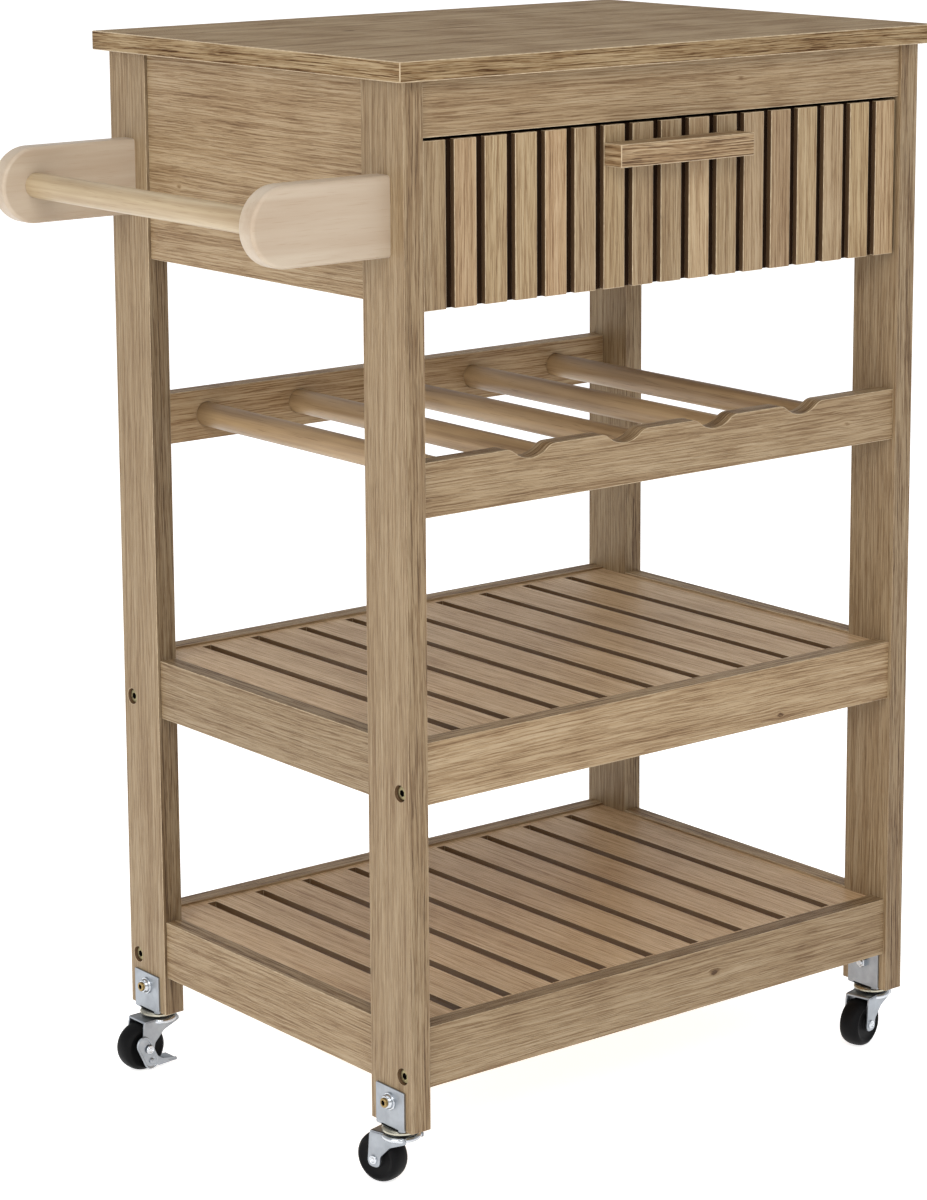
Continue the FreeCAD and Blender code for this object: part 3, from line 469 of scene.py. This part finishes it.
def dress_boards():
    """Every laminate board, each with its own figure and knots. How light or dark each board is made is
    partly its own colour and partly painted light and shade: the shelf panels and the back wine rail are
    painted lighter, and the top, the left-facing rails and the legs' narrow faces are painted darker.
    """
    # Lightness per board below: partly each board's own colour, partly painted light and shade
    dress_board("top_board", X, width=0.7 * MM, tone=0.85, warmth=1.05, figure=0.7, contrast=1.1,
                roughness=0.55, gloss=0.16, knots=((-0.12, 0.06, 3 * MM),))
    # band on the legs darkens their narrow faces as painted shade, most on the back left leg
    dress_board("leg_front_left", Z, tone=0.80, band=0.98, figure=0.1, contrast=0.9)
    dress_board("leg_front_right", Z, tone=0.84, band=0.88, figure=0.15)
    dress_board("leg_back_left", Z, tone=0.82, band=0.72, figure=0.1, contrast=0.9)
    dress_board("leg_back_right", Z, tone=0.82, warmth=1.04, figure=0.1)
    dress_board("top_front_rail", X, tone=0.88, figure=0.35, knots=((0.07, 0.004, 2 * MM),))
    dress_board("side_panel_left", Y, tone=0.95, figure=0.45,
                knots=((0.10, -0.02, 2.2 * MM), (0.112, 0.045, 1.6 * MM)))
    dress_board("side_panel_right", Y, figure=0.4, knots=((-0.06, 0.02, 2 * MM),))
    dress_board("back_panel", X, figure=0.4, knots=((0.15, -0.03, 2.5 * MM),))
    dress_board("wine_rail_front", X, tone=0.87, figure=0.5,
                knots=((0.19, -0.002, 2 * MM), (-0.13, 0.001, 1.6 * MM)))
    dress_board("wine_rail_back", X, tone=1.25, figure=0.25)
    dress_board("mid_rail_front", X, figure=0.45, knots=((0.12, -0.017, 2.4 * MM),))
    dress_board("mid_rail_back", X, figure=0.3)
    dress_board("mid_rail_left", Y, tone=0.75, figure=0.3)
    dress_board("mid_rail_right", Y, figure=0.3)
    dress_board("low_rail_front", X, tone=0.82, figure=0.5, knots=((0.05, 0.003, 3 * MM),))
    dress_board("low_rail_back", X, figure=0.3)
    dress_board("low_rail_left", Y, tone=0.86, figure=0.35, knots=((-0.02, -0.012, 1.4 * MM),))
    dress_board("low_rail_right", Y, figure=0.3)
    for level in ("mid", "low"):
        dress_board(f"{level}_shelf_panel", Y, tone=1.72, warmth=0.95, contrast=0.9, figure=0.25,
                    roughness=0.36, walls=colour(96, 73, 50))
    dress_board("drawer_handle", X, tone=1.05, figure=0.6, lines=1.2, width=0.6 * MM)
    for name in ("drawer_side_left", "drawer_side_right"):
        dress_board(name, Y, figure=0.2)
    dress_board("drawer_back", X, figure=0.2)
    dress_board("drawer_bottom", X, figure=0.2, contrast=0.7)


def slat_material():
    """Upright grain that starts afresh on each slat, brown on the slats' side walls."""
    graph = Graph("oak_slats")
    low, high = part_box("drawer_slats")
    count = 17
    width = 20.6 * MM
    pitch = (high.x - low.x - width) / (count - 1)
    coordinates = graph.node("TexCoord")
    place = graph.split(coordinates.outputs["Object"])
    index = graph.math("FLOOR", graph.math("DIVIDE", graph.math("SUBTRACT", place[0], low.x - 2 * MM), pitch))
    chance = graph.node("TexWhiteNoise", noise_dimensions="1D")
    graph.link(index, chance.inputs["W"])
    tones = graph.split(chance.outputs["Color"])
    along = graph.math("MULTIPLY_ADD", tones[0], 9.0, place[2])
    across = graph.math("SUBTRACT", place[0], graph.math("MULTIPLY_ADD", index, pitch, low.x + width / 2))
    leaning = graph.math("ADD", across, graph.math("MULTIPLY_ADD", tones[1], 0.03, -0.015))
    cathedral = graph.math("MULTIPLY", tones[2], 0.7)
    pattern = graph.group(OAK, graph.join(along, leaning, place[1]), cathedral, 0.9, 0.0)
    face = finish_wood(graph, pattern[0], pattern[1], wood_colours(1.0), 0.4)
    lightness = graph.math("MULTIPLY_ADD", tones[1], 0.34, 0.78)
    hue = graph.ramp(tones[0], ((0.0, (1.03, 0.98, 0.96)), (0.5, (1.0, 1.0, 1.0)), (1.0, (0.99, 1.0, 0.95))))
    toned = graph.mix(1.0, face, graph.join(lightness, lightness, lightness), "MULTIPLY")
    tint = graph.mix(1.0, toned, hue, "MULTIPLY")
    sideways = graph.math("ABSOLUTE", graph.split(coordinates.outputs["Normal"])[0])
    wall = graph.math("GREATER_THAN", sideways, 0.75)
    graph.link(graph.mix(wall, tint, (*colour(86, 66, 47), 1)), graph.shader["Base Color"])
    return graph.material


def backing_material():
    """The near-black brown board behind the slats, with a faint grain."""
    graph = Graph("dark_backing")
    place = graph.node("TexCoord").outputs["Object"]
    fleck = graph.noise(graph.vector("MULTIPLY", place, (420, 420, 30)), 3)
    base = graph.ramp(fleck, ((0.3, colour(26, 17, 10)), (0.7, colour(42, 28, 17))))
    graph.link(base, graph.shader["Base Color"])
    graph.shader["Roughness"].default_value = 0.8
    graph.shader["Specular IOR Level"].default_value = 0.08
    graph.bump(fleck, 0.1 * MM)
    return graph.material


def solid_wood(name, along, light, dark, streak_scale):
    """Clear-finished solid wood with soft streaks and short dark pores."""
    graph = Graph(name)
    low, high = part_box(name)
    place = graph.node("TexCoord").outputs["Object"]
    centred = graph.split(graph.vector("SUBTRACT", place, tuple((low + high) / 2)))
    others = [axis for axis in range(3) if axis != along]
    seed = sum(ord(letter) for letter in name) * 0.61
    grain = graph.join(graph.math("ADD", centred[along], seed), centred[others[0]], centred[others[1]])
    sway = graph.math("SUBTRACT", graph.noise(graph.vector("MULTIPLY", grain, (5, 30, 30)), 1), 0.5)
    wavy = graph.vector("ADD", grain, graph.join(0.0, graph.math("MULTIPLY", sway, 6 * MM), 0.0))
    streak = graph.noise(graph.vector("MULTIPLY", wavy, (3, streak_scale, streak_scale)), 3, 0.6)
    pore = graph.noise(graph.vector("MULTIPLY", wavy, (40, 1300, 1300)), 1)
    cloud = graph.noise(graph.vector("MULTIPLY", grain, (9, 40, 40)), 2)
    amount = graph.math("ADD", graph.math("MULTIPLY", graph.step(streak, 0.3, 0.75), 0.55),
                        graph.math("MULTIPLY", graph.step(pore, 0.6, 0.75), 0.3))
    amount = graph.math("ADD", amount, graph.math("MULTIPLY", graph.step(cloud, 0.35, 0.8), 0.3), clamp=True)
    middle = tuple((a + b) / 2 for a, b in zip(light, dark))
    graph.link(graph.ramp(amount, ((0.0, light), (0.5, middle), (1.0, dark))), graph.shader["Base Color"])
    graph.link(graph.math("MULTIPLY_ADD", amount, 0.15, 0.36), graph.shader["Roughness"])
    graph.shader["Specular IOR Level"].default_value = 0.45
    graph.bump(graph.math("SUBTRACT", 1.0, pore), 0.06 * MM)
    return graph.material


def dress_drawer_front():
    """The slats and the dark board behind them."""
    soften(dress("drawer_slats", slat_material(), PALE_EDGE_HIGHLIGHT), 0.45 * MM)
    soften(dress("drawer_front", backing_material()), 0.4 * MM, edge_material=False)


def dress_solid_wood():
    """Towel brackets and bar, and the wine dowels."""
    for end in ("front", "back"):
        name = f"towel_bracket_{end}"
        dress(name, solid_wood(name, X, colour(176, 161, 142), colour(154, 133, 111), 60))
    dress("towel_bar", solid_wood("towel_bar", Y, colour(178, 160, 130), colour(132, 108, 78), 160))
    for index in range(1, 6):
        name = f"wine_dowel_{index}"
        dress(name, solid_wood(name, Y, colour(171, 144, 108), colour(96, 70, 44), 130))


# Metal and plastic -------------------------------------------------------------------------------

def metal(name, base, roughness, mottle=0.12, scale=90):
    """Plated steel: slightly uneven in colour and gloss."""
    graph = Graph(name)
    place = graph.node("TexCoord").outputs["Object"]
    cloud = graph.noise(graph.vector("MULTIPLY", place, (scale, scale, scale)), 4)
    scratch = graph.noise(graph.vector("MULTIPLY", place, (2600, 900, 260)), 2)
    darker = tuple(value * (1 - 2 * mottle) for value in base)
    graph.link(graph.ramp(cloud, ((0.3, darker), (0.65, base))), graph.shader["Base Color"])
    uneven = graph.math("ADD", graph.math("MULTIPLY", cloud, 0.16), graph.math("MULTIPLY", scratch, 0.1))
    graph.link(graph.math("ADD", uneven, roughness - 0.1), graph.shader["Roughness"])
    graph.shader["Metallic"].default_value = 1.0
    graph.bump(scratch, 0.01 * MM)
    return graph.material


def plastic(name, base, roughness):
    """Hard moulded plastic with fine scuffs."""
    graph = Graph(name)
    place = graph.node("TexCoord").outputs["Object"]
    scuff = graph.noise(graph.vector("MULTIPLY", place, (500, 500, 500)), 3)
    lighter = tuple(value * 1.5 for value in base)
    graph.link(graph.ramp(scuff, ((0.4, base), (0.75, lighter))), graph.shader["Base Color"])
    graph.link(graph.math("MULTIPLY_ADD", scuff, 0.2, roughness), graph.shader["Roughness"])
    graph.shader["Specular IOR Level"].default_value = 0.1
    graph.bump(scuff, 0.02 * MM)
    return graph.material


ZINC = metal("zinc", colour(158, 163, 169), 0.36)
BRIGHT_ZINC = metal("bright_zinc", colour(200, 204, 209), 0.16)
GOLD_ZINC = metal("gold_zinc", colour(186, 182, 166), 0.26)
BRASS = metal("brass", colour(158, 134, 88), 0.34, 0.2, 400)
DULL_BRASS = metal("dull_brass", colour(156, 144, 108), 0.38, 0.2, 400)
RUNNER_STEEL = metal("runner_steel", colour(205, 208, 212), 0.3)
BLACK = plastic("wheel_black", colour(16, 16, 17), 0.45)
# Near-black inside the bolts' hexagon sockets: painted shade in the recess
SOCKET_SHADE = plastic("socket_painted_shade", colour(12, 11, 9), 0.6)


def dress_runners():
    """Both halves of each drawer runner."""
    for side in ("left", "right"):
        dress(f"runner_cabinet_{side}", RUNNER_STEEL)
        dress(f"runner_drawer_{side}", RUNNER_STEEL)


# Mesh building -----------------------------------------------------------------------------------

ROUND_STEPS = 48


def piece(name, build, materials, body, replaces):
    """A mesh made by a function that fills a bmesh, riding on a body."""
    work = bmesh.new()
    build(work)
    bmesh.ops.remove_doubles(work, verts=work.verts, dist=0.001 * MM)
    bmesh.ops.recalc_face_normals(work, faces=work.faces)
    mesh = bpy.data.meshes.new(name)
    work.to_mesh(mesh)
    work.free()
    for material in materials:
        mesh.materials.append(material)
    for face in mesh.polygons:
        face.use_smooth = True
    mesh.set_sharp_from_angle(angle=math.radians(35))
    item = bpy.data.objects.new(name, mesh)
    bpy.context.scene.collection.objects.link(item)
    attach(item, body)
    if replaces:
        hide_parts(*replaces)


def in_mm(pairs):
    """Pairs given in millimetres, as metres."""
    return [(first * MM, second * MM) for first, second in pairs]


def circle(work, radius, height, place, steps):
    """New vertices round local Z."""
    angles = (2 * math.pi * index / steps for index in range(steps))
    return [work.verts.new(place @ Vector((radius * math.cos(a), radius * math.sin(a), height)))
            for a in angles]


def skin(work, rings):
    """Join rings of one length, each with the next."""
    count = len(rings[0])
    for first, second in zip(rings, rings[1:]):
        for index in range(count):
            following = (index + 1) % count
            work.faces.new((first[index], first[following], second[following], second[index]))


def lathe(work, profile, place, steps=ROUND_STEPS, material=0):
    """Turn a profile of (radius, height) pairs about local Z; place maps local points to the row frame."""
    rings = [circle(work, radius, height, place, steps if radius else 1) for radius, height in profile]
    for first, second in zip(rings, rings[1:]):
        for index in range(steps):
            following = (index + 1) % steps
            corners = [first[index % len(first)], first[following % len(first)],
                       second[following % len(second)], second[index % len(second)]]
            unique = list(dict.fromkeys(corners))
            if len(unique) > 2:
                work.faces.new(unique).material_index = material


def hex_socket(work, radius, top, depth, corners, place, material=0, inside=1):
    """A flat round end with a hexagon socket in it, facing local +Z."""
    outer = circle(work, radius, top, place, ROUND_STEPS)
    rings = [circle(work, corners, height, place, 6) for height in (top, top - depth)]
    share = ROUND_STEPS // 6
    for index in range(6):
        following = (index + 1) % 6
        arc = [outer[(index * share + step) % ROUND_STEPS] for step in range(share + 1)]
        work.faces.new(arc + [rings[0][following], rings[0][index]]).material_index = material
        # The socket's walls and floor take the inside material, painted shade
        wall = (rings[0][index], rings[0][following], rings[1][following], rings[1][index])
        work.faces.new(wall).material_index = inside
    work.faces.new(rings[1]).material_index = inside


def rounded(points, radius, steps=5):
    """A closed outline with each corner replaced by an arc; points are (x, y) or (x, y, own radius)."""
    outline = []
    for index, corner in enumerate(points):
        here = Vector(corner[:2])
        reach = corner[2] if len(corner) > 2 else radius
        before = Vector(points[index - 1][:2]) - here
        after = Vector(points[(index + 1) % len(points)][:2]) - here
        half = before.angle(after) / 2
        longest = 0.49
        cut = min(reach / math.tan(half), before.length * longest, after.length * longest)
        start = here + before.normalized() * cut
        end = here + after.normalized() * cut
        for step in range(steps + 1):
            part = step / steps
            outline.append((start * (1 - part) ** 2 + here * 2 * part * (1 - part) + end * part ** 2)[:])
    return outline


def slab(work, outline, low, high, place, chamfer):
    """Extrude an outline in local XY from low to high, with a small chamfer round both faces."""
    middle = sum((Vector(point) for point in outline), Vector((0, 0))) / len(outline)
    levels = [(low, chamfer), (low + chamfer, 0), (high - chamfer, 0), (high, chamfer)]
    rings = []
    for height, inset in levels:
        ring = []
        for point in outline:
            flat = Vector(point)
            pulled = flat + (middle - flat).normalized() * inset
            ring.append(work.verts.new(place @ Vector((*pulled, height))))
        rings.append(ring)
    skin(work, rings)
    work.faces.new(rings[0][::-1])
    work.faces.new(rings[-1])


# Casters -----------------------------------------------------------------------------------------

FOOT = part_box("leg_front_left")[0].z
WHEEL_RADIUS = 20 * MM
WHEEL_HALF = 9 * MM
TRAIL = 18.5 * MM
AXLE_DROP = FOOT - WHEEL_RADIUS
ON_SIDE = Matrix.Rotation(math.radians(90), 4, "X")


def caster_places(name):
    """Matrices of a caster: upright at the swivel axis, turned to its trail, and at the axle."""
    swivel = JOINTS["swivel_" + name]["pos_m"]
    axle = JOINTS["wheel_spin_" + name]["pos_m"]
    angle = math.atan2(axle[1] - swivel[1], axle[0] - swivel[0])
    upright = Matrix.Translation((swivel[0], swivel[1], FOOT))
    turned = upright @ Matrix.Rotation(angle, 4, "Z")
    at_axle = Matrix.Translation(axle) @ Matrix.Rotation(angle, 4, "Z") @ ON_SIDE
    return upright, turned, at_axle


def make_wheel(name, at_axle):
    """A barrel-shaped wheel with a dished side and a raised hub; local Z is the axle."""
    shoulder = 16.2 * MM
    side = in_mm(((2.56, 9.0), (6.0, 9.0), (6.6, 8.6), (7.2, 7.9), (12.8, 7.7), (14.2, 8.4), (15.4, 8.95)))
    profile = side[:]
    tread = 14
    for index in range(tread + 1):
        part = 1 - 2 * index / tread
        crown = (1 - abs(part) ** 2.5) ** 0.55
        profile.append((shoulder + (WHEEL_RADIUS - shoulder) * crown, part * WHEEL_HALF))
    profile += [(radius, -height) for radius, height in side[::-1]]
    profile.append(profile[0])
    piece(f"wheel_{name}", lambda work: lathe(work, profile, at_axle, 64), (BLACK,), f"wheel_{name}",
          (f"caster_wheel_{name}",))


def make_axle(name, at_axle, braked):
    """A riveted axle with a ringed head at each end; a brake lever makes one end longer."""
    head = 3.6 * MM
    near = 11.6 * MM
    far = near + 2.4 * MM if braked else near

    def cap(start, sign):
        rings = [(head, 0.0), (head, 0.7), (head - 0.4 * MM, 1.15), (2.5 * MM, 1.2), (2.2 * MM, 0.8),
                 (1.6 * MM, 0.8), (1.3 * MM, 1.1), (0.0, 1.15)]
        return [(radius, start + sign * rise * MM) for radius, rise in rings]

    shank = 2.5 * MM
    profile = cap(-far, -1)[::-1] + [(shank, -far), (shank, near)] + cap(near, 1)
    piece(f"axle_{name}", lambda work: lathe(work, profile, at_axle, 32), (BRIGHT_ZINC,), f"fork_{name}",
          (f"caster_axle_{name}",))


def make_fork(name, turned):
    """A pressed fork: a dished round top with a rolled rim, a flat tail and two cheeks with round ends."""
    top = -7 * MM
    sheet = 1.6 * MM
    half = 11.6 * MM
    axle_z = -AXLE_DROP
    eye = 6 * MM
    cheek_outline = rounded([
        (-13.0 * MM, -11.4 * MM, 1 * MM), (-13.0 * MM, top - 1.6 * MM, 1 * MM), (-10 * MM, top, 0.8 * MM),
        (21.5 * MM, top, 1.6 * MM), (22.6 * MM, -12 * MM, 3 * MM),
        (TRAIL + eye, axle_z - eye, eye), (TRAIL - eye, axle_z - eye, eye),
        (TRAIL - eye - 0.5 * MM, axle_z + 3 * MM, 6 * MM), (2 * MM, axle_z + 13 * MM, 9 * MM),
    ], 2 * MM, 7)
    on_edge = turned @ Matrix.Rotation(math.radians(90), 4, "X")

    def build(work):
        for side in (-1, 1):
            low, high = sorted((side * (half - sheet), side * half))
            slab(work, cheek_outline, low, high, on_edge, 0.3 * MM)
        tail = rounded([(-12 * MM, -half), (21.5 * MM, -half), (21.5 * MM, half), (-12 * MM, half)], 1.4 * MM)
        slab(work, tail, top - 2.2 * MM, top, turned, 0.5 * MM)
        dish = [(3.1, -9.3), (3.1, -8.0), (8.0, -8.0), (10.5, -7.4), (12.5, -7.3), (12.5, -9.3), (3.1, -9.3)]
        lathe(work, in_mm(dish), turned)

    def build_rim(work):
        radius, height = 13.5, -9.3
        wide, deep = 2.3, 2.2
        section = (2 * math.pi * index / 16 for index in range(17))
        ring = in_mm((radius + wide * math.cos(a), height + deep * math.sin(a)) for a in section)
        lathe(work, ring, turned, 64)

    piece(f"fork_rim_{name}", build_rim, (BRIGHT_ZINC,), f"fork_{name}", ())
    piece(f"fork_{name}", build, (ZINC,), f"fork_{name}", (f"caster_fork_{name}",))


def make_bracket(name, upright):
    """A U-shaped plate round the leg with the fixed race and the riveted king pin under it."""
    half_leg = 9 * MM
    sheet = 1.8 * MM
    half = 17.5 * MM
    rise = 31 * MM
    side_outline = rounded([(-half, -0.6 * MM), (-half, rise), (half, rise), (half, -1.8 * MM),
                            (-half + 6 * MM, -1.8 * MM)], 1.2 * MM, 4)
    facing = upright @ Matrix.Rotation(math.radians(90), 4, "Z") @ Matrix.Rotation(math.radians(90), 4, "X")

    def build(work):
        for low in (-half_leg - sheet, half_leg):
            slab(work, side_outline, low, low + sheet, facing, 0.25 * MM)
        wide, deep = half_leg + sheet, half - 5 * MM
        base = rounded([(-wide, -deep), (wide, -deep), (wide, deep), (-wide, deep)], 2 * MM)
        slab(work, base, -sheet, 0, upright, 0.2 * MM)

    def build_race(work):
        race = [(0.0, -1.8), (12.6, -1.8), (14.2, -2.4), (15.0, -3.4), (15.0, -4.6), (14.3, -5.4),
                (12.5, -5.8), (4.6, -5.8), (3.0, -6.2), (3.0, -9.9), (5.5, -9.9), (5.5, -11.2), (4.2, -11.7),
                (0.0, -11.7)]
        lathe(work, in_mm(race), upright)

    piece(f"bracket_plate_{name}", build, (ZINC,), "root", (f"caster_bracket_{name}",))
    piece(f"bracket_race_{name}", build_race, (GOLD_ZINC,), "root", ())


def make_lever(name, at_axle):
    """An oval pressed plate with a raised rim and a small rivet, and an arm with a pedal."""
    inner = -12.0 * MM
    outer = -13.6 * MM
    ends = (Vector((4.9, 4.55)) * MM, Vector((-2.1, -10.5)) * MM)
    reach = 7 * MM
    lean = math.atan2(ends[0].y - ends[1].y, ends[0].x - ends[1].x)
    oval = []
    for end, start in ((ends[0], lean - math.pi / 2), (ends[1], lean + math.pi / 2)):
        for step in range(19):
            angle = start + math.pi * step / 18
            oval.append((end.x + reach * math.cos(angle), end.y + reach * math.sin(angle)))
    arm = rounded([(x * MM, y * MM, r * MM) for x, y, r in (
        (-6.0, -5.5, 1), (-12.5, -10.8, 6), (-27.6, -12.9, 1), (-27.6, -15.4, 1), (-9.0, -16.2, 5),
        (-2.0, -12.0, 1))], MM)
    rim = ((0.0, 0.7), (0.35, 0.1), (0.9, 0.0), (1.4, 0.15), (1.9, 0.7))

    def build(work):
        slab(work, oval, outer + 0.7 * MM, inner, at_axle, 0.2 * MM)
        rings = []
        for inset, height in rim:
            ring = []
            for point in oval:
                flat = Vector(point)
                near = ends[0] if (flat - ends[0]).length < (flat - ends[1]).length else ends[1]
                drawn = near + (flat - near) * (1 - inset * MM / reach)
                ring.append(work.verts.new(at_axle @ Vector((*drawn, outer + height * MM))))
            rings.append(ring)
        skin(work, rings)
        slab(work, arm, outer + 0.5 * MM, inner, at_axle, 0.2 * MM)
        pedal = rounded(in_mm(((-27.6, -15.4), (-18.5, -15.4), (-18.5, -13.8), (-27.6, -13.8))), 0.7 * MM, 3)
        slab(work, pedal, outer + 0.2 * MM, 3.4 * MM, at_axle, 0.3 * MM)
        rivet = at_axle @ Matrix.Translation((ends[1].x, ends[1].y, 0))
        dome = ((0.0, -14.3), (1.3, -14.2), (2.1, -13.8), (2.4, -13.2), (2.4, -12.6))
        lathe(work, in_mm(dome), rivet, 24)

    piece(f"brake_plate_{name}", build, (ZINC,), f"lever_{name}", (f"brake_lever_{name}",))


def outward(place, side):
    """A frame at a point with local Z along X, away from the middle of the cart."""
    return Matrix.Translation(place) @ Matrix.Rotation(math.radians(90 * side), 4, "Y")


def make_caster_bolts():
    """Bolts through the caster brackets: washer, bright collar, brass socket end, and an inner nut."""
    plate_face = 10.8 * MM
    height = FOOT + 20 * MM

    def build(work):
        for name in CASTERS:
            swivel = JOINTS["swivel_" + name]["pos_m"]
            side = 1 if "right" in name else -1
            place = outward((swivel[0] + side * plate_face, swivel[1], height), side)
            collar = ((0.0, 0.0), (7.0, 0.0), (7.0, 0.8), (6.6, 1.3), (5.9, 1.4), (5.8, 2.4), (5.4, 3.6),
                      (4.7, 4.5), (3.9, 4.7), (3.9, 4.2))
            lathe(work, in_mm(collar), place)
            cap = ((3.9, 4.2), (3.9, 6.0), (3.5, 6.5))
            lathe(work, in_mm(cap), place, material=1)
            # The socket's inside is painted near-black as shade
            hex_socket(work, 3.5 * MM, 6.5 * MM, 2.4 * MM, 2.3 * MM, place, material=1, inside=2)
            shank = ((3.0, 0.0), (3.0, -25.6), (2.5, -26.2), (0.0, -26.2))
            lathe(work, in_mm(shank), place, 24)
            nut = ((3.0, -21.6), (5.2, -21.6), (5.2, -24.6), (4.6, -25.0), (3.0, -25.0))
            lathe(work, in_mm(nut), place, 6)

    piece("caster_bolt_set", build, (BRIGHT_ZINC, BRASS, SOCKET_SHADE), "root", ("caster_bolts",))


def make_frame_bolts():
    """Sunk bolts that hold the shelf rails to the legs, with a rounded head and a hexagon socket painted
    black as shade.
    """
    low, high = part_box("frame_bolts")

    def build(work):
        for height in FRAME_BOLT_Z:
            for row in FRAME_BOLT_Y.values():
                for side, reach in ((-1, low.x), (1, high.x)):
                    place = outward((reach, row, height), side)
                    head = ((3.0, -4.0), (5.6, -4.0), (5.6, -1.0), (5.2, -0.3), (4.4, 0.0))
                    lathe(work, in_mm(head), place)
                    hex_socket(work, 4.4 * MM, 0.0, 2.5 * MM, 2.9 * MM, place)
                    shank = ((3.0, -4.0), (3.0, -39.4), (2.4, -40.0), (0.0, -40.0))
                    lathe(work, in_mm(shank), place, 24)

    piece("frame_bolt_set", build, (DULL_BRASS, SOCKET_SHADE), "root", ("frame_bolts",))


def make_casters():
    for name in CASTERS:
        upright, turned, at_axle = caster_places(name)
        make_bracket(name, upright)
        make_fork(name, turned)
        make_wheel(name, at_axle)
        make_axle(name, at_axle, "back" in name)
        if "back" in name:
            make_lever(name, at_axle)


make_camera()
make_floor()
make_light()
dress_boards()
dress_drawer_front()
dress_solid_wood()
dress_runners()
make_casters()
make_caster_bolts()
make_frame_bolts()
